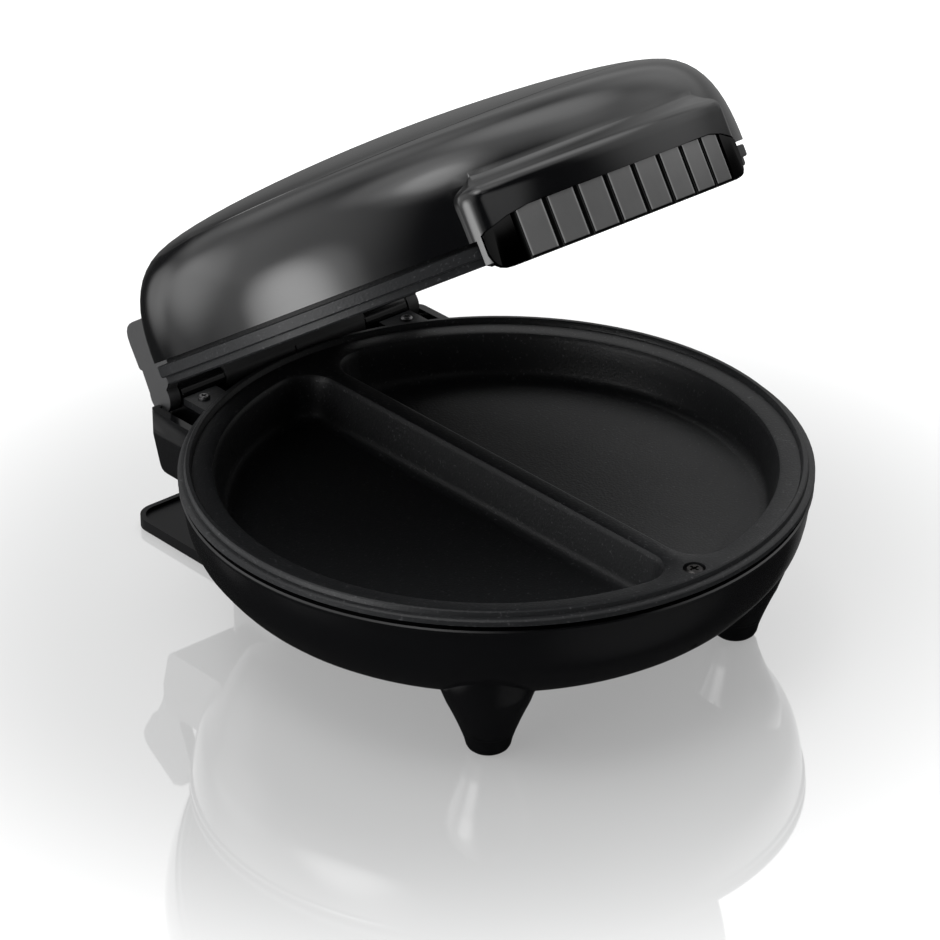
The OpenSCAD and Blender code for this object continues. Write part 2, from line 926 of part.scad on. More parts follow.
// A small lens that lies flush with a flange inside the lid
module lens(s) {
    top = lid_z + lid_rise;
    lid_pose()
        translate([s * lamp_x, lamp_y, 0])
            rotate_extrude()
                polygon(concat(
                    [[0, top - lid_wall - 1.6], [5, top - lid_wall - 1.6], [5, top - lid_wall - 0.5],
                     [3.85, top - lid_wall - 0.5]],
                    curve([[3.85, top - 0.6], [3.85, top - 0.2], [2.2, top], [0, top]], 4)
                ));
}

module power_lens() {
    color([0.3, 0.04, 0.04])
        lens(-1);
}

module ready_lens() {
    color([0.05, 0.2, 0.08])
        lens(1);
}

module indicator_lamps() {
    color([0.9, 0.85, 0.8])
        lid_pose()
            lens_points()
                translate([0, 0, lid_z + lid_rise - lid_wall - 10])
                    cylinder(h = 8.4, r = 2.6);
}

base_housing();
lower_plate();
lower_heater();
lower_reflector();
lower_reflector_screw();
lower_front_screw();
lower_rear_screws();
thermostat();
thermal_fuse();
terminal_block();
cord_gland();
hinge_pin();
lid_cover();
lid_panel();
lid_frame();
upper_plate();
upper_heater();
upper_reflector();
upper_reflector_screw();
upper_plate_screws();
handle_grip();
power_lens();
ready_lens();
indicator_lamps();
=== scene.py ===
"""Looks for the electric omelette maker: finishes, fine surface detail, studio and camera."""

import json
import math

import bpy
from mathutils import Matrix, Vector


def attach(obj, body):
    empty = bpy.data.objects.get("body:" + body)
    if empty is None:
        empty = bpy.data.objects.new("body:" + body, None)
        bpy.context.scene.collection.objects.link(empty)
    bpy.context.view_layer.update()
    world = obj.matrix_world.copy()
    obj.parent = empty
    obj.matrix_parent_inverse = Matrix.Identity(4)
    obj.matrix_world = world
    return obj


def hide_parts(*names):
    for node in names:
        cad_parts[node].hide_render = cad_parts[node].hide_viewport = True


bl_info = {
    "name": "Omelette Maker Looks",
    "version": (1, 0, 0),
    "blender": (4, 5, 0),
    "location": "View3D > Sidebar > Omelette Maker",
    "description": "Finishes, details and studio for an electric omelette maker",
    "category": "Object",
}

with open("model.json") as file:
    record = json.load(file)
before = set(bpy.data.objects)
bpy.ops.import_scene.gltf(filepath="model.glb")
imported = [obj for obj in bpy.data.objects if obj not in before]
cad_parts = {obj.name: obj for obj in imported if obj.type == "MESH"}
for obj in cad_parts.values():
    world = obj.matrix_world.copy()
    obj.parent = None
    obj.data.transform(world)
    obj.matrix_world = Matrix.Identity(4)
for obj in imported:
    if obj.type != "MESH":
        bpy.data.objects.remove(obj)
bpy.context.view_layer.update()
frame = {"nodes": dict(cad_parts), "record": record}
BODIES = frame["record"]["behaviour"]["bodies"]
NODE_BODY = {node: body for body, nodes in BODIES.items() for node in nodes}

# Meshes: distance in metres at which points are joined, and the angle up to
# which an edge is shaded smooth
JOIN_DISTANCE = 2e-6
SMOOTH_ANGLE = math.radians(32.0)

# Shared finishes: noise cells for each grain size, the colour that smears take
# on, and the colour of the coating's flecks
GRAIN_CELLS = 0.9
SMEAR_COLOUR = (0.03, 0.03, 0.031, 1)
FLECK_COLOUR = (0.06, 0.06, 0.063, 1)

# Camera: focal length in pixels of a 940 pixel frame, direction and roll in
# degrees, distance from its centre, shift to its own right and up, and place of
# that centre; lengths in metres
FRAME_PX = 940
FOCAL_PX = 4997.25
CAMERA_AZIMUTH = -40.691
CAMERA_ELEVATION = 28.477
CAMERA_ROLL = -0.37
CAMERA_DISTANCE = 1.6481
CAMERA_SIDE = -0.008657
CAMERA_RISE = -0.001016
CAMERA_CENTRE_Y = -0.0155
CAMERA_CENTRE_Z = 0.05919

# Soft surround: azimuth and elevation in degrees of its dark side, the angles
# from it where the light starts and ends to grow, and its strength at each
DARK_SIDE = (-41, 30, 40, 88, 0.0, 0.3)

# Soft round lights: azimuth and elevation in degrees, where the light starts
# and ends to fade in degrees from its middle, and its strength
ROUND_LIGHTS = (
    (-97, -3, 4, 24, 4.4),
    (-90, 6, 4, 24, 1.7),
    (-84, 72, 3, 15, 2.9),
    (-84, 72, 4, 24, 1.4),
    (-136, 68, 4, 24, 1.3),
    (-114, 18, 10, 60, 1.2),
    (139, 70, 6, 38, 1.15),
    (-150, -5, 4, 24, 1.0),
    (131, 51, 4, 24, 0.95),
    (71, 37, 6, 38, 0.85),
    (-17, 38, 3, 15, 0.8),
    (168, 29, 4, 24, 0.5),
    (-178, -18, 3, 15, 0.5),
    (-158, -14, 4, 24, 0.45),
    (116, 27, 4, 24, 0.3),
    (-175, 7, 4, 24, 0.26),
    (125, -4, 6, 38, 0.24),
    (17, -32, 6, 38, 0.1),
)

# Share of the soft surround that is left under the horizon, and the heights of
# a direction between which it fades
BELOW = 0.05
HORIZON_LOW = -0.1
HORIZON_HIGH = 0.06

# Floor: its height, its colour, and how far its polish reaches
FLOOR_Z = -0.0002
FLOOR_COLOUR = (0.62, 0.625, 0.625, 1)
MIRROR_CENTRE = (0.0, 0.0, 0.0)
MIRROR_NEAR = 0.13
MIRROR_FAR = 0.34
MIRROR_ROUGHNESS = 0.03

# Base: the height up to which its finish is dull, where the gloss is full, the
# specular level below and above, and the roughness that is added below
STAND_TOP_Z = 0.0065
GLOSS_FROM_Z = STAND_TOP_Z + 0.003
DULL_SPECULAR, GLOSS_SPECULAR = 0.1, 0.5
DULL_ROUGHER = 0.16

# Grip, with the lid closed: middle of the dome that it bends round, radius of
# its faces, depth and pitch of its grooves, angle of its outermost grooves, and
# half the angle over which the shade changes there to the painted dark reflection of its ends
DOME_CENTRE_Y = -0.0155
GRIP_FACE_R = 0.1073
GROOVE_DEPTH = 0.0011
GROOVE_PITCH = math.radians(5.875)
GRIP_HALF_ANGLE = 4 * GROOVE_PITCH
GRIP_END_BLEND = 0.004

# Painted highlight beside a groove, in pitches from the groove's middle: where it
# starts and ends to fade, and how many times brighter than a face it is
HIGHLIGHT_NEAR, HIGHLIGHT_FAR = 0.11, 0.16
HIGHLIGHT_GAIN = 2.4

# Grip finish: how far its shade wanders, the specular level and roughness of
# its ends, painted black as a dark reflection, and of its faces, the height between a groove's bottom,
# 0, and the face, 1, from which the specular level grows and where it is full, and the
# share of it that a groove keeps
WEAR_LEAST, WEAR_MOST = 0.8, 1.25
END_SPECULAR, FACE_SPECULAR = 0.3, 0.8
END_ROUGHNESS, FACE_ROUGHNESS = 0.14, 0.34
FACE_FROM, FACE_FULL = 0.8, 0.95
GROOVE_SHARE = 0.04

# Grey of the grip by height, from a groove's bottom, 0, to the face, 1: painted shade
# in the grooves, with a faint painted highlight line on their walls
GRIP_PAINTED_SHADES = (
    (0.0, 0.001), (0.3, 0.001), (0.45, 0.012), (0.6, 0.001), (0.86, 0.002), (0.96, 0.09), (1.0, 0.095),
)


class KitchenPlasticSettings(bpy.types.PropertyGroup):
    gloss_colour: bpy.props.FloatVectorProperty(
        name="Gloss black", description="Colour of the glossy mouldings",
        default=(0.0035, 0.0036, 0.004), size=3, min=0, max=1, subtype="COLOR")
    gloss_roughness: bpy.props.FloatProperty(
        name="Gloss roughness", description="Roughness of the glossy mouldings",
        default=0.12, min=0, max=1, subtype="FACTOR")
    matte_colour: bpy.props.FloatVectorProperty(
        name="Matte black", description="Colour of the hinge mouldings",
        default=(0.038, 0.038, 0.039), size=3, min=0, max=1, subtype="COLOR")
    matte_roughness: bpy.props.FloatProperty(
        name="Matte roughness", description="Roughness of the hinge mouldings",
        default=0.42, min=0, max=1, subtype="FACTOR")
    grain_size: bpy.props.FloatProperty(
        name="Grain", description="Size of the moulding grain",
        default=0.0006, min=0.0001, max=0.01, unit="LENGTH")


class CoatingSettings(bpy.types.PropertyGroup):
    coat_colour: bpy.props.FloatVectorProperty(
        name="Coating", description="Colour of the non-stick coating",
        default=(0.013, 0.0135, 0.0145), size=3, min=0, max=1, subtype="COLOR")
    coat_roughness: bpy.props.FloatProperty(
        name="Coating roughness", description="Roughness of the non-stick coating",
        default=0.36, min=0, max=1, subtype="FACTOR")
    speckle_size: bpy.props.FloatProperty(
        name="Speckle", description="Size of the sprayed texture",
        default=0.0009, min=0.0001, max=0.01, unit="LENGTH")


class StudioSettings(bpy.types.PropertyGroup):
    floor_size: bpy.props.FloatProperty(
        name="Floor", description="Width of the studio floor",
        default=12.0, min=1, max=40, unit="LENGTH")
    floor_mirror: bpy.props.FloatProperty(
        name="Floor polish", description="Share of the floor's light that is a mirror image",
        default=0.55, min=0, max=1, subtype="FACTOR")
    table_glow: bpy.props.FloatProperty(
        name="Table glow", description="Light that the lit table gives by itself",
        default=0.7, min=0, max=5, subtype="FACTOR")


# Shared shader groups

def new_group(name, inputs, outputs):
    """A shader node group with the named sockets and its two end nodes."""
    group = bpy.data.node_groups.new(name, "ShaderNodeTree")
    for title, kind, value in inputs:
        socket = group.interface.new_socket(title, in_out="INPUT", socket_type=kind)
        socket.default_value = value
    for title, kind in outputs:
        group.interface.new_socket(title, in_out="OUTPUT", socket_type=kind)
    start = group.nodes.new("NodeGroupInput")
    end = group.nodes.new("NodeGroupOutput")
    start.location = (-700, 0)
    end.location = (700, 0)
    return group, start, end


def add(tree, kind, place, **values):
    """A node with its plain properties and socket values set."""
    node = tree.nodes.new(kind)
    node.location = place
    for key, value in values.items():
        if hasattr(node, key):
            setattr(node, key, value)
        else:
            node.inputs[key.replace("_", " ")].default_value = value
    return node


def span(tree, place, low=0.0, high=1.0, start=0.0, end=1.0, smooth=False):
    """A node that maps low to start and high to end, and keeps to them beyond."""
    node = add(tree, "ShaderNodeMapRange", place)
    node.interpolation_type = "SMOOTHSTEP" if smooth else "LINEAR"
    for socket, value in zip(("From Min", "From Max", "To Min", "To Max"), (low, high, start, end)):
        node.inputs[socket].default_value = value
    return node


def moulding_group():
    """Fine moulding grain with faint flow marks and handling smears."""
    group, start, end = new_group(
        "Moulding surface",
        [("Colour", "NodeSocketColor", (0.01, 0.01, 0.01, 1)),
         ("Roughness", "NodeSocketFloat", 0.2),
         ("Grain Scale", "NodeSocketFloat", 1500.0),
         ("Grain Depth", "NodeSocketFloat", 0.02),
         ("Smear", "NodeSocketFloat", 0.05)],
        [("Colour", "NodeSocketColor"), ("Roughness", "NodeSocketFloat"), ("Height", "NodeSocketFloat")])
    place = add(group, "ShaderNodeTexCoord", (-700, -260))
    grain = add(group, "ShaderNodeTexNoise", (-450, 160), Detail=3.0, Roughness=0.6)
    smear = add(group, "ShaderNodeTexNoise", (-450, -120), Scale=26.0, Detail=5.0, Roughness=0.62)
    fine = add(group, "ShaderNodeTexNoise", (-450, -380), Scale=210.0, Detail=4.0, Roughness=0.7)
    spread = span(group, (-220, -120), 0.35, 0.75)
    mixed = add(group, "ShaderNodeMath", (-20, -200), operation="MULTIPLY")
    amount = add(group, "ShaderNodeMath", (160, -160), operation="MULTIPLY")
    total = add(group, "ShaderNodeMath", (330, -60), operation="ADD")
    height = add(group, "ShaderNodeMath", (160, 160), operation="MULTIPLY")
    lift = add(group, "ShaderNodeMixRGB", (160, 330), blend_type="MIX")
    lift.inputs["Color2"].default_value = SMEAR_COLOUR
    link = group.links.new
    for texture in (grain, smear, fine):
        link(place.outputs["Object"], texture.inputs["Vector"])
    link(start.outputs["Grain Scale"], grain.inputs["Scale"])
    link(smear.outputs["Fac"], spread.inputs["Value"])
    link(spread.outputs["Result"], mixed.inputs[0])
    link(fine.outputs["Fac"], mixed.inputs[1])
    link(mixed.outputs["Value"], amount.inputs[0])
    link(start.outputs["Smear"], amount.inputs[1])
    link(amount.outputs["Value"], total.inputs[0])
    link(start.outputs["Roughness"], total.inputs[1])
    link(grain.outputs["Fac"], height.inputs[0])
    link(start.outputs["Grain Depth"], height.inputs[1])
    link(amount.outputs["Value"], lift.inputs["Fac"])
    link(start.outputs["Colour"], lift.inputs["Color1"])
    link(lift.outputs["Color"], end.inputs["Colour"])
    link(total.outputs["Value"], end.inputs["Roughness"])
    link(height.outputs["Value"], end.inputs["Height"])
    return group


def speckle_group():
    """Sprayed coating: fine pebbled texture with lighter flecks."""
    group, start, end = new_group(
        "Sprayed coating",
        [("Colour", "NodeSocketColor", (0.02, 0.02, 0.02, 1)),
         ("Roughness", "NodeSocketFloat", 0.4),
         ("Speckle Scale", "NodeSocketFloat", 1100.0),
         ("Speckle Depth", "NodeSocketFloat", 0.5)],
        [("Colour", "NodeSocketColor"), ("Roughness", "NodeSocketFloat"), ("Height", "NodeSocketFloat")])
    place = add(group, "ShaderNodeTexCoord", (-700, -260))
    pebble = add(group, "ShaderNodeTexVoronoi", (-450, 160))
    cloud = add(group, "ShaderNodeTexNoise", (-450, -120), Scale=60.0, Detail=6.0, Roughness=0.7)
    dust = add(group, "ShaderNodeTexNoise", (-450, -380), Scale=900.0, Detail=2.0, Roughness=0.5)
    flecks = span(group, (-220, -380), 0.62, 0.78)
    lift = add(group, "ShaderNodeMixRGB", (0, 330), blend_type="MIX")
    lift.inputs["Color2"].default_value = FLECK_COLOUR
    height = add(group, "ShaderNodeMath", (0, 160), operation="MULTIPLY")
    wander = add(group, "ShaderNodeMath", (0, -120), operation="MULTIPLY")
    wander.inputs[1].default_value = 0.12
    total = add(group, "ShaderNodeMath", (200, -60), operation="ADD")
    link = group.links.new
    for texture in (pebble, cloud, dust):
        link(place.outputs["Object"], texture.inputs["Vector"])
    link(start.outputs["Speckle Scale"], pebble.inputs["Scale"])
    link(dust.outputs["Fac"], flecks.inputs["Value"])
    link(flecks.outputs["Result"], lift.inputs["Fac"])
    link(start.outputs["Colour"], lift.inputs["Color1"])
    link(pebble.outputs["Distance"], height.inputs[0])
    link(start.outputs["Speckle Depth"], height.inputs[1])
    link(cloud.outputs["Fac"], wander.inputs[0])
    link(wander.outputs["Value"], total.inputs[0])
    link(start.outputs["Roughness"], total.inputs[1])
    link(lift.outputs["Color"], end.inputs["Colour"])
    link(total.outputs["Value"], end.inputs["Roughness"])
    link(height.outputs["Value"], end.inputs["Height"])
    return group


def metal_group():
    """Drawn or pressed metal: streaks along one axis and dull heat stains."""
    group, start, end = new_group(
        "Worked metal",
        [("Colour", "NodeSocketColor", (0.6, 0.6, 0.6, 1)),
         ("Stain", "NodeSocketColor", (0.3, 0.24, 0.18, 1)),
         ("Roughness", "NodeSocketFloat", 0.3),
         ("Stain Amount", "NodeSocketFloat", 0.3)],
        [("Colour", "NodeSocketColor"), ("Roughness", "NodeSocketFloat"), ("Height", "NodeSocketFloat")])
    place = add(group, "ShaderNodeTexCoord", (-900, -100))
    stretch = add(group, "ShaderNodeMapping", (-700, 120))
    stretch.inputs["Scale"].default_value = (60.0, 2200.0, 2200.0)
    streaks = add(group, "ShaderNodeTexNoise", (-450, 160), Scale=1.0, Detail=3.0, Roughness=0.6)
    stains = add(group, "ShaderNodeTexNoise", (-450, -160), Scale=55.0, Detail=5.0, Roughness=0.65)
    amount = add(group, "ShaderNodeMath", (-200, -160), operation="MULTIPLY")
    tint = add(group, "ShaderNodeMixRGB", (60, 260), blend_type="MIX")
    wander = add(group, "ShaderNodeMath", (0, -20), operation="MULTIPLY")
    wander.inputs[1].default_value = 0.2
    total = add(group, "ShaderNodeMath", (220, -60), operation="ADD")
    height = add(group, "ShaderNodeMath", (60, 80), operation="MULTIPLY")
    height.inputs[1].default_value = 0.4
    link = group.links.new
    link(place.outputs["Object"], stretch.inputs["Vector"])
    link(stretch.outputs["Vector"], streaks.inputs["Vector"])
    link(place.outputs["Object"], stains.inputs["Vector"])
    link(stains.outputs["Fac"], amount.inputs[0])
    link(start.outputs["Stain Amount"], amount.inputs[1])
    link(amount.outputs["Value"], tint.inputs["Fac"])
    link(start.outputs["Colour"], tint.inputs["Color1"])
    link(start.outputs["Stain"], tint.inputs["Color2"])
    link(streaks.outputs["Fac"], wander.inputs[0])
    link(wander.outputs["Value"], total.inputs[0])
    link(start.outputs["Roughness"], total.inputs[1])
    link(streaks.outputs["Fac"], height.inputs[0])
    link(tint.outputs["Color"], end.inputs["Colour"])
    link(total.outputs["Value"], end.inputs["Roughness"])
    link(height.outputs["Value"], end.inputs["Height"])
    return group


GROUPS = {}


def shared(name):
    """The shared group of this name, made on its first use."""
    makers = {"moulding": moulding_group, "coating": speckle_group, "metal": metal_group}
    if name not in GROUPS:
        GROUPS[name] = makers[name]()
    return GROUPS[name]


def dressed_material(name, group, values, bump=0.0002, **shader):
    """A material whose colour, roughness and bump come from a shared group."""
    material = bpy.data.materials.new(name)
    material.use_nodes = True
    tree = material.node_tree
    surface = tree.nodes["Principled BSDF"]
    detail = tree.nodes.new("ShaderNodeGroup")
    detail.node_tree = shared(group)
    detail.location = (-500, 100)
    for key, value in values.items():
        detail.inputs[key].default_value = value
    relief = tree.nodes.new("ShaderNodeBump")
    relief.location = (-240, -200)
    relief.inputs["Strength"].default_value = 1.0
    relief.inputs["Distance"].default_value = bump
    tree.links.new(detail.outputs["Colour"], surface.inputs["Base Color"])
    tree.links.new(detail.outputs["Roughness"], surface.inputs["Roughness"])
    tree.links.new(detail.outputs["Height"], relief.inputs["Height"])
    tree.links.new(relief.outputs["Normal"], surface.inputs["Normal"])
    for key, value in shader.items():
        surface.inputs[key.replace("_", " ")].default_value = value
    return material


def gloss_black(name, smear=0.06, roughness=None):
    """Glossy black moulded plastic."""
    plastic = bpy.context.scene.kitchen_plastic
    return dressed_material(name, "moulding", {
        "Colour": (*plastic.gloss_colour, 1),
        "Roughness": plastic.gloss_roughness if roughness is None else roughness,
        "Grain Scale": GRAIN_CELLS / plastic.grain_size, "Grain Depth": 0.003, "Smear": smear,
    }, bump=0.00012, IOR=1.5)


def closed_lid_place():
    """Turn and shift that bring a point of the open lid to the closed lid, centred on the dome."""
    joint = frame["record"]["behaviour"]["joints"][0]
    hinge = Vector(joint["pos_m"])
    turn = Matrix.Rotation(-math.radians(joint["range_deg"][0]), 3, "X")
    shift = hinge - turn @ hinge
    shift.y -= DOME_CENTRE_Y
    return turn.to_euler(), shift


def grip_satin_painted_light():
    """Satin raised faces with painted shade in the grooves, painted highlights beside them and glossy
    ends painted black as a dark reflection.
    """
    material = gloss_black("grip satin painted light")
    tree = material.node_tree
    surface = tree.nodes["Principled BSDF"]
    turn, shift = closed_lid_place()
    place = add(tree, "ShaderNodeTexCoord", (-1700, -300))
    closed = add(tree, "ShaderNodeMapping", (-1500, -300), vector_type="POINT")
    closed.inputs["Rotation"].default_value = turn
    closed.inputs["Location"].default_value = shift
    flat = add(tree, "ShaderNodeVectorMath", (-1300, -300), operation="MULTIPLY")
    flat.inputs[1].default_value = (1, 1, 0)
    radius = add(tree, "ShaderNodeVectorMath", (-1100, -300), operation="LENGTH")
    raised = span(tree, (-900, -300), GRIP_FACE_R - GROOVE_DEPTH, GRIP_FACE_R)
    # Painted shade: the grooves darken by their depth, with a faint painted highlight line on their
    # walls
    ramp = add(tree, "ShaderNodeValToRGB", (-700, -300))
    stops = ramp.color_ramp.elements
    heights, greys = zip(*GRIP_PAINTED_SHADES)
    stops[0].position, stops[1].position = heights[0], heights[-1]
    for height in heights[1:-1]:
        stops.new(height)
    for stop, grey in zip(stops, greys):
        stop.color = (grey, grey, grey, 1)
    parts = add(tree, "ShaderNodeSeparateXYZ", (-1300, -560))
    front = add(tree, "ShaderNodeMath", (-1100, -660), operation="MULTIPLY")
    front.inputs[1].default_value = -1.0
    side = add(tree, "ShaderNodeMath", (-1100, -500), operation="ABSOLUTE")
    angle = add(tree, "ShaderNodeMath", (-900, -560), operation="ARCTAN2")
    # Painted dark reflection: beyond the outermost grooves the grip's colour turns black
    middle = span(tree, (-700, -560), GRIP_HALF_ANGLE - GRIP_END_BLEND, GRIP_HALF_ANGLE + GRIP_END_BLEND,
                  1.0, 0.0, smooth=True)
    # Painted highlight: a bright line beside each groove, found from the angle round the dome
    pitches = add(tree, "ShaderNodeMath", (-700, -800), operation="DIVIDE")
    pitches.inputs[1].default_value = GROOVE_PITCH
    beside = add(tree, "ShaderNodeMath", (-500, -800), operation="PINGPONG")
    beside.inputs[1].default_value = 0.5
    edge = span(tree, (-300, -800), HIGHLIGHT_NEAR, HIGHLIGHT_FAR, HIGHLIGHT_GAIN, 1.0, smooth=True)
    # The grip's colour: the painted groove shade times random wear, the painted dark ends and the
    # painted edge highlights
    bright = add(tree, "ShaderNodeMath", (-100, 420), operation="MULTIPLY")
    wear = add(tree, "ShaderNodeTexNoise", (-700, 420), Scale=70.0, Detail=4.0, Roughness=0.6)
    wander = span(tree, (-500, 420), start=WEAR_LEAST, end=WEAR_MOST)
    level = add(tree, "ShaderNodeMath", (-300, 420), operation="MULTIPLY")
    shade = add(tree, "ShaderNodeMixRGB", (-300, 240), blend_type="MULTIPLY")
    shade.inputs["Fac"].default_value = 1.0
    shine = span(tree, (-500, -20), start=END_SPECULAR, end=FACE_SPECULAR)
    face = span(tree, (-500, 180), FACE_FROM, FACE_FULL, GROOVE_SHARE)
    glint = add(tree, "ShaderNodeMath", (-300, 60), operation="MULTIPLY")
    sheen = span(tree, (-300, -500), start=END_ROUGHNESS, end=FACE_ROUGHNESS)
    link = tree.links.new
    link(place.outputs["Object"], closed.inputs["Vector"])
    link(closed.outputs["Vector"], flat.inputs[0])
    link(flat.outputs["Vector"], radius.inputs[0])
    link(radius.outputs["Value"], raised.inputs["Value"])
    link(raised.outputs["Result"], ramp.inputs["Fac"])
    link(closed.outputs["Vector"], parts.inputs["Vector"])
    link(parts.outputs["X"], side.inputs[0])
    link(parts.outputs["Y"], front.inputs[0])
    link(side.outputs["Value"], angle.inputs[0])
    link(front.outputs["Value"], angle.inputs[1])
    link(angle.outputs["Value"], middle.inputs["Value"])
    link(place.outputs["Object"], wear.inputs["Vector"])
    link(wear.outputs["Fac"], wander.inputs["Value"])
    link(wander.outputs["Result"], level.inputs[0])
    link(middle.outputs["Result"], level.inputs[1])
    link(ramp.outputs["Color"], shade.inputs["Color1"])
    link(angle.outputs["Value"], pitches.inputs[0])
    link(pitches.outputs["Value"], beside.inputs[0])
    link(beside.outputs["Value"], edge.inputs["Value"])
    link(level.outputs["Value"], bright.inputs[0])
    link(edge.outputs["Result"], bright.inputs[1])
    link(bright.outputs["Value"], shade.inputs["Color2"])
    link(shade.outputs["Color"], surface.inputs["Base Color"])
    link(middle.outputs["Result"], shine.inputs["Value"])
    link(raised.outputs["Result"], face.inputs["Value"])
    link(shine.outputs["Result"], glint.inputs[0])
    link(face.outputs["Result"], glint.inputs[1])
    link(glint.outputs["Value"], surface.inputs["Specular IOR Level"])
    link(middle.outputs["Result"], sheen.inputs["Value"])
    link(sheen.outputs["Result"], surface.inputs["Roughness"])
    return material


def base_gloss():
    """Gloss of the bowl and block that turns satin on the flat stand and the feet's tips."""
    material = gloss_black("base gloss", smear=0.02, roughness=0.16)
    tree = material.node_tree
    surface = tree.nodes["Principled BSDF"]
    gloss = surface.inputs["Roughness"].links[0].from_socket
    place = add(tree, "ShaderNodeTexCoord", (-1100, -300))
    parts = add(tree, "ShaderNodeSeparateXYZ", (-900, -300))
    shine = span(tree, (-700, -300), STAND_TOP_Z, GLOSS_FROM_Z,
                 DULL_SPECULAR, GLOSS_SPECULAR, smooth=True)
    dull = span(tree, (-700, -560), STAND_TOP_Z, GLOSS_FROM_Z, DULL_ROUGHER, 0.0, smooth=True)
    total = add(tree, "ShaderNodeMath", (-240, -20), operation="ADD")
    tree.links.new(parts.outputs["Z"], shine.inputs["Value"])
    tree.links.new(parts.outputs["Z"], dull.inputs["Value"])
    tree.links.new(place.outputs["Object"], parts.inputs["Vector"])
    tree.links.new(shine.outputs["Result"], surface.inputs["Specular IOR Level"])
    tree.links.new(gloss, total.inputs[0])
    tree.links.new(dull.outputs["Result"], total.inputs[1])
    tree.links.new(total.outputs["Value"], surface.inputs["Roughness"])
    return material


def matte_black(name):
    """Grained matte black moulded plastic or rubber."""
    plastic = bpy.context.scene.kitchen_plastic
    return dressed_material(name, "moulding", {
        "Colour": (*plastic.matte_colour, 1), "Roughness": plastic.matte_roughness,
        "Grain Scale": GRAIN_CELLS / plastic.grain_size, "Grain Depth": 0.5, "Smear": 0.1,
    }, bump=0.00008, IOR=1.48)


def coating(name):
    """Sprayed non-stick coating of a cooking plate."""
    coat = bpy.context.scene.plate_coating
    return dressed_material(name, "coating", {
        "Colour": (*coat.coat_colour, 1), "Roughness": coat.coat_roughness,
        "Speckle Scale": 1.0 / coat.speckle_size, "Speckle Depth": 0.35,
    }, bump=0.00012, IOR=1.45, Specular_IOR_Level=0.28)


def worked_metal(name, colour, roughness=0.25, stain=(0.3, 0.24, 0.18), amount=0.15):
    """Metal with fine streaks along X and dull heat stains."""
    return dressed_material(name, "metal", {
        "Colour": (*colour, 1), "Stain": (*stain, 1), "Roughness": roughness, "Stain Amount": amount,
    }, bump=0.00002, Metallic=1.0)


# Making and placing pieces

def nothing_selected():
    """Leaves edit mode and deselects every object."""
    if bpy.context.object and bpy.context.object.mode != "OBJECT":
        bpy.ops.object.mode_set(mode="OBJECT")
    bpy.ops.object.select_all(action="DESELECT")


def alone(piece):
    """Selects one object and makes it active."""
    nothing_selected()
    piece.select_set(True)
    bpy.context.view_layer.objects.active = piece


def finished(piece, material):
    """Gives a piece this one material."""
    piece.data.materials.clear()
    piece.data.materials.append(material)


def dress_node(node, material):
    """Gives a CAD node its finish."""
    finished(frame["nodes"][node], material)


def smooth_twin(node, material):
    """A copy of a CAD node with joined points and smooth shading, shown in its place."""
    source = frame["nodes"][node]
    alone(source)
    bpy.ops.object.duplicate()
    twin = bpy.context.object
    twin.name = node + "_surface"
    alone(twin)
    bpy.ops.mesh.customdata_custom_splitnormals_clear()
    bpy.ops.object.mode_set(mode="EDIT")
    bpy.ops.mesh.select_all(action="SELECT")
    bpy.ops.mesh.remove_doubles(threshold=JOIN_DISTANCE)
    bpy.ops.object.mode_set(mode="OBJECT")
    bpy.ops.object.shade_smooth_by_angle(angle=SMOOTH_ANGLE)
    world = twin.matrix_world.copy()
    twin.parent = None
    twin.matrix_world = world
    bpy.ops.object.transform_apply(location=True, rotation=True, scale=True)
    finished(twin, material)
    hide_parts(node)
    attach(twin, NODE_BODY[node])
    return twin


class OMELETTE_OT_lid_shell(bpy.types.Operator):
    """Gives the domed lid and its top panel their deep gloss"""
    bl_idname = "omelette.lid_shell"
    bl_label = "Lid shell and top panel"

    def execute(self, context):
        smooth_twin("lid_cover", gloss_black("lid gloss"))
        smooth_twin("lid_panel", gloss_black("panel gloss", smear=0.04))
        return {"FINISHED"}


class OMELETTE_OT_base_bowl(bpy.types.Operator):
    """Gives the base bowl, its feet and hinge block their gloss"""
    bl_idname = "omelette.base_bowl"
    bl_label = "Base bowl and feet"

    def execute(self, context):
        smooth_twin("base_housing", base_gloss())
        return {"FINISHED"}


class OMELETTE_OT_cooking_plates(bpy.types.Operator):
    """Coats both plates with sprayed non-stick"""
    bl_idname = "omelette.cooking_plates"
    bl_label = "Cooking plates"

    def execute(self, context):
        for node in ("lower_plate", "upper_plate"):
            smooth_twin(node, coating(node + " coating"))
        return {"FINISHED"}


class OMELETTE_OT_ribbed_grip(bpy.types.Operator):
    """Gives the ribbed grip its semi-gloss finish, with painted shade and highlights at its grooves and
    a painted dark reflection on its ends
    """
    bl_idname = "omelette.ribbed_grip"
    bl_label = "Ribbed grip"

    def execute(self, context):
        smooth_twin("handle_grip", grip_satin_painted_light())
        return {"FINISHED"}


class OMELETTE_OT_hinge_parts(bpy.types.Operator):
    """Finishes the hinge frame, pin and lead bushing"""
    bl_idname = "omelette.hinge_parts"
    bl_label = "Hinge and frame"

    def execute(self, context):
        smooth_twin("lid_frame", matte_black("hinge moulding"))
        dress_node("hinge_pin", worked_metal("pin steel", (0.45, 0.45, 0.46), 0.3))
        dress_node("cord_gland", matte_black("bushing rubber"))
        return {"FINISHED"}


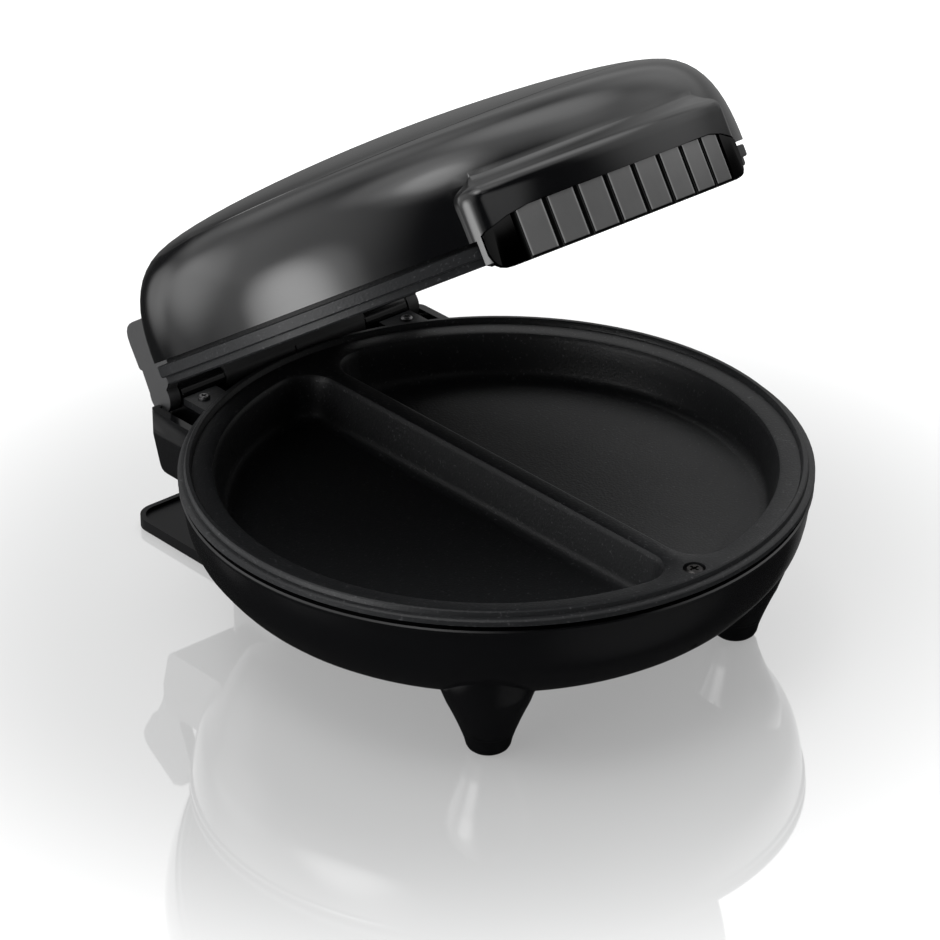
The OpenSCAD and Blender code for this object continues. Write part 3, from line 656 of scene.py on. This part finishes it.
class OMELETTE_OT_fasteners(bpy.types.Operator):
    """Finishes every screw"""
    bl_idname = "omelette.fasteners"
    bl_label = "Screws"

    def execute(self, context):
        black = worked_metal("blackened screw", (0.05, 0.05, 0.052), 0.35, (0.12, 0.1, 0.08), 0.3)
        bright = worked_metal("bright screw", (0.55, 0.55, 0.56), 0.25)
        dull = worked_metal("dull screw", (0.16, 0.16, 0.165), 0.28, (0.1, 0.09, 0.08), 0.3)
        for node in ("lower_front_screw", "upper_plate_screws"):
            dress_node(node, black)
        dress_node("lower_rear_screws", dull)
        for node in ("lower_reflector_screw", "upper_reflector_screw"):
            dress_node(node, bright)
        return {"FINISHED"}


class OMELETTE_OT_heating_parts(bpy.types.Operator):
    """Finishes the heaters, reflectors and the switch gear inside"""
    bl_idname = "omelette.heating_parts"
    bl_label = "Heaters and switch gear"

    def execute(self, context):
        tube = worked_metal("heater tube", (0.32, 0.3, 0.28), 0.42, (0.2, 0.13, 0.09), 0.6)
        sheet = worked_metal("reflector sheet", (0.75, 0.75, 0.76), 0.22, (0.5, 0.45, 0.35), 0.25)
        for side in ("lower", "upper"):
            dress_node(side + "_heater", tube)
            dress_node(side + "_reflector", sheet)
        dress_node("thermostat", worked_metal("thermostat case", (0.6, 0.48, 0.26), 0.35))
        dress_node("thermal_fuse", worked_metal("cut-out case", (0.7, 0.7, 0.72), 0.3))
        dress_node("terminal_block", dressed_material("terminal nylon", "moulding", {
            "Colour": (0.7, 0.68, 0.6, 1), "Roughness": 0.5, "Grain Scale": 900.0,
            "Grain Depth": 0.3, "Smear": 0.1}))
        return {"FINISHED"}


class OMELETTE_OT_indicator_lenses(bpy.types.Operator):
    """Finishes the two indicator lenses and their lamps"""
    bl_idname = "omelette.indicator_lenses"
    bl_label = "Indicator lenses"

    def execute(self, context):
        for node, colour in (("power_lens", (0.1, 0.003, 0.002)), ("ready_lens", (0.003, 0.07, 0.012))):
            dress_node(node, dressed_material(node + " tint", "moulding", {
                "Colour": (*colour, 1), "Roughness": 0.12, "Grain Scale": 700.0,
                "Grain Depth": 0.05, "Smear": 0.03}, IOR=1.49))
        dress_node("indicator_lamps", dressed_material("lamp glass", "moulding", {
            "Colour": (0.7, 0.66, 0.55, 1), "Roughness": 0.15, "Grain Scale": 500.0,
            "Grain Depth": 0.02, "Smear": 0.05}, IOR=1.5))
        return {"FINISHED"}


# Studio

class OMELETTE_OT_studio(bpy.types.Operator):
    """Builds the pale floor, the soft lights and the camera"""
    bl_idname = "omelette.studio"
    bl_label = "Studio"

    def execute(self, context):
        studio_floor()
        studio_world()
        studio_camera()
        context.scene.view_settings.view_transform = "Standard"
        return {"FINISHED"}


def facing(azimuth, elevation):
    """A direction in degrees: azimuth 0 is the front, 90 the right."""
    a, e = math.radians(azimuth), math.radians(elevation)
    return (math.sin(a) * math.cos(e), -math.cos(a) * math.cos(e), math.sin(e))


def camera_axes():
    """The camera's right, up and back directions."""
    azimuth, roll = math.radians(CAMERA_AZIMUTH), math.radians(CAMERA_ROLL)
    back = Vector(facing(CAMERA_AZIMUTH, CAMERA_ELEVATION))
    right = Vector((math.cos(azimuth), math.sin(azimuth), 0))
    up = back.cross(right)
    turned_right = right * math.cos(roll) + up * math.sin(roll)
    turned_up = -right * math.sin(roll) + up * math.cos(roll)
    return turned_right, turned_up, back


def studio_camera():
    """Adds the camera and makes it the active one."""
    right, up, back = camera_axes()
    data = bpy.data.cameras.new("photo camera")
    camera = bpy.data.objects.new("photo camera", data)
    bpy.context.scene.collection.objects.link(camera)
    data.sensor_fit = "AUTO"
    data.sensor_width = 36.0
    data.lens = FOCAL_PX / FRAME_PX * data.sensor_width
    data.clip_start, data.clip_end = 0.05, 60.0
    place = back * CAMERA_DISTANCE + right * CAMERA_SIDE + up * CAMERA_RISE
    place += Vector((0, CAMERA_CENTRE_Y, CAMERA_CENTRE_Z))
    turn = Matrix((right, up, back)).transposed().to_4x4()
    turn.translation = place
    camera.matrix_world = turn
    bpy.context.scene.camera = camera


def studio_floor():
    """A pale polished floor whose mirror image fades away from the object."""
    studio = bpy.context.scene.omelette_studio
    nothing_selected()
    bpy.ops.mesh.primitive_plane_add(size=studio.floor_size, location=(0, 0, FLOOR_Z))
    floor = bpy.context.object
    floor.name = "studio_floor"
    bpy.ops.object.transform_apply(location=True)
    material = bpy.data.materials.new("polished floor")
    material.use_nodes = True
    tree = material.node_tree
    tree.nodes.remove(tree.nodes["Principled BSDF"])
    place = add(tree, "ShaderNodeTexCoord", (-900, 0))
    reach = add(tree, "ShaderNodeVectorMath", (-700, 0), operation="DISTANCE")
    reach.inputs[1].default_value = MIRROR_CENTRE
    fade = span(tree, (-480, 0), MIRROR_NEAR, MIRROR_FAR, studio.floor_mirror, 0.0, smooth=True)
    pale = add(tree, "ShaderNodeBsdfPrincipled", (-240, 120))
    pale.inputs["Base Color"].default_value = FLOOR_COLOUR
    pale.inputs["Specular IOR Level"].default_value = 0.0
    pale.inputs["Emission Color"].default_value = (1, 1, 1, 1)
    pale.inputs["Emission Strength"].default_value = studio.table_glow
    mirror = add(tree, "ShaderNodeBsdfGlossy", (-240, -120))
    mirror.inputs["Roughness"].default_value = MIRROR_ROUGHNESS
    both = add(tree, "ShaderNodeMixShader", (40, 0))
    tree.links.new(place.outputs["Object"], reach.inputs[0])
    tree.links.new(reach.outputs["Value"], fade.inputs["Value"])
    tree.links.new(fade.outputs["Result"], both.inputs["Fac"])
    tree.links.new(pale.outputs["BSDF"], both.inputs[1])
    tree.links.new(mirror.outputs["BSDF"], both.inputs[2])
    tree.links.new(both.outputs["Shader"], tree.nodes["Material Output"].inputs["Surface"])
    finished(floor, material)
    floor.visible_glossy = False


def round_light(tree, sight, row, azimuth, elevation, inner, outer, centre, edge=0.0):
    """A light round one direction of the surround, fading smoothly to its edge."""
    angle = add(tree, "ShaderNodeVectorMath", (-950, -220 * row), operation="DOT_PRODUCT")
    angle.inputs[1].default_value = facing(azimuth, elevation)
    level = span(tree, (-720, -220 * row), math.cos(math.radians(outer)), math.cos(math.radians(inner)),
                 edge, centre, smooth=True)
    tree.links.new(sight.outputs["Generated"], angle.inputs[0])
    tree.links.new(angle.outputs["Value"], level.inputs["Value"])
    return level.outputs["Result"]


def combine(tree, row, operation, first, second):
    """The result of one Math operation on two sockets."""
    node = add(tree, "ShaderNodeMath", (-480, -220 * row), operation=operation)
    tree.links.new(first, node.inputs[0])
    tree.links.new(second, node.inputs[1])
    return node.outputs["Value"]


def studio_world():
    """A pale surround with soft round lights, dark on the camera's side and below."""
    world = bpy.data.worlds.new("studio surround")
    world.use_nodes = True
    tree = world.node_tree
    sight = add(tree, "ShaderNodeTexCoord", (-1200, 0))
    total = round_light(tree, sight, 0, *DARK_SIDE)
    height = add(tree, "ShaderNodeSeparateXYZ", (-950, 300))
    tree.links.new(sight.outputs["Generated"], height.inputs["Vector"])
    above = span(tree, (-720, 300), HORIZON_LOW, HORIZON_HIGH, BELOW, smooth=True)
    tree.links.new(height.outputs["Z"], above.inputs["Value"])
    total = combine(tree, -1, "MULTIPLY", total, above.outputs["Result"])
    for row, light in enumerate(ROUND_LIGHTS, 1):
        total = combine(tree, row, "ADD", total, round_light(tree, sight, row, *light))
    tree.links.new(total, tree.nodes["Background"].inputs["Strength"])
    tree.nodes["Background"].inputs["Color"].default_value = (1, 1, 1, 1)
    bpy.context.scene.world = world


# Sidebar and start

class OMELETTE_PT_panel(bpy.types.Panel):
    """Lists the settings and the operators in the sidebar"""
    bl_idname = "OMELETTE_PT_panel"
    bl_label = "Omelette Maker"
    bl_space_type = "VIEW_3D"
    bl_region_type = "UI"
    bl_category = "Omelette Maker"

    def draw(self, context):
        layout = self.layout
        for name in SETTINGS:
            settings = getattr(context.scene, name)
            box = layout.box()
            for key in settings.__annotations__:
                box.prop(settings, key)
        for operator in PIECE_OPERATORS:
            layout.operator(operator.bl_idname)


PIECE_OPERATORS = (
    OMELETTE_OT_lid_shell, OMELETTE_OT_base_bowl, OMELETTE_OT_cooking_plates, OMELETTE_OT_ribbed_grip,
    OMELETTE_OT_hinge_parts, OMELETTE_OT_fasteners, OMELETTE_OT_heating_parts,
    OMELETTE_OT_indicator_lenses, OMELETTE_OT_studio,
)
SETTINGS = {
    "kitchen_plastic": KitchenPlasticSettings,
    "plate_coating": CoatingSettings,
    "omelette_studio": StudioSettings,
}


def register():
    """Registers the settings, the operators and the panel."""
    for name, group in SETTINGS.items():
        bpy.utils.register_class(group)
        setattr(bpy.types.Scene, name, bpy.props.PointerProperty(type=group))
    for operator in PIECE_OPERATORS:
        bpy.utils.register_class(operator)
    bpy.utils.register_class(OMELETTE_PT_panel)


def unregister():
    """Removes what register added."""
    bpy.utils.unregister_class(OMELETTE_PT_panel)
    for operator in reversed(PIECE_OPERATORS):
        bpy.utils.unregister_class(operator)
    for name, group in reversed(list(SETTINGS.items())):
        delattr(bpy.types.Scene, name)
        bpy.utils.unregister_class(group)


def main():
    """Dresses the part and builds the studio."""
    register()
    bpy.ops.omelette.studio()
    bpy.ops.omelette.lid_shell()
    bpy.ops.omelette.base_bowl()
    bpy.ops.omelette.cooking_plates()
    bpy.ops.omelette.ribbed_grip()
    bpy.ops.omelette.hinge_parts()
    bpy.ops.omelette.fasteners()
    bpy.ops.omelette.heating_parts()
    bpy.ops.omelette.indicator_lenses()


if __name__ == "__main__":
    main()
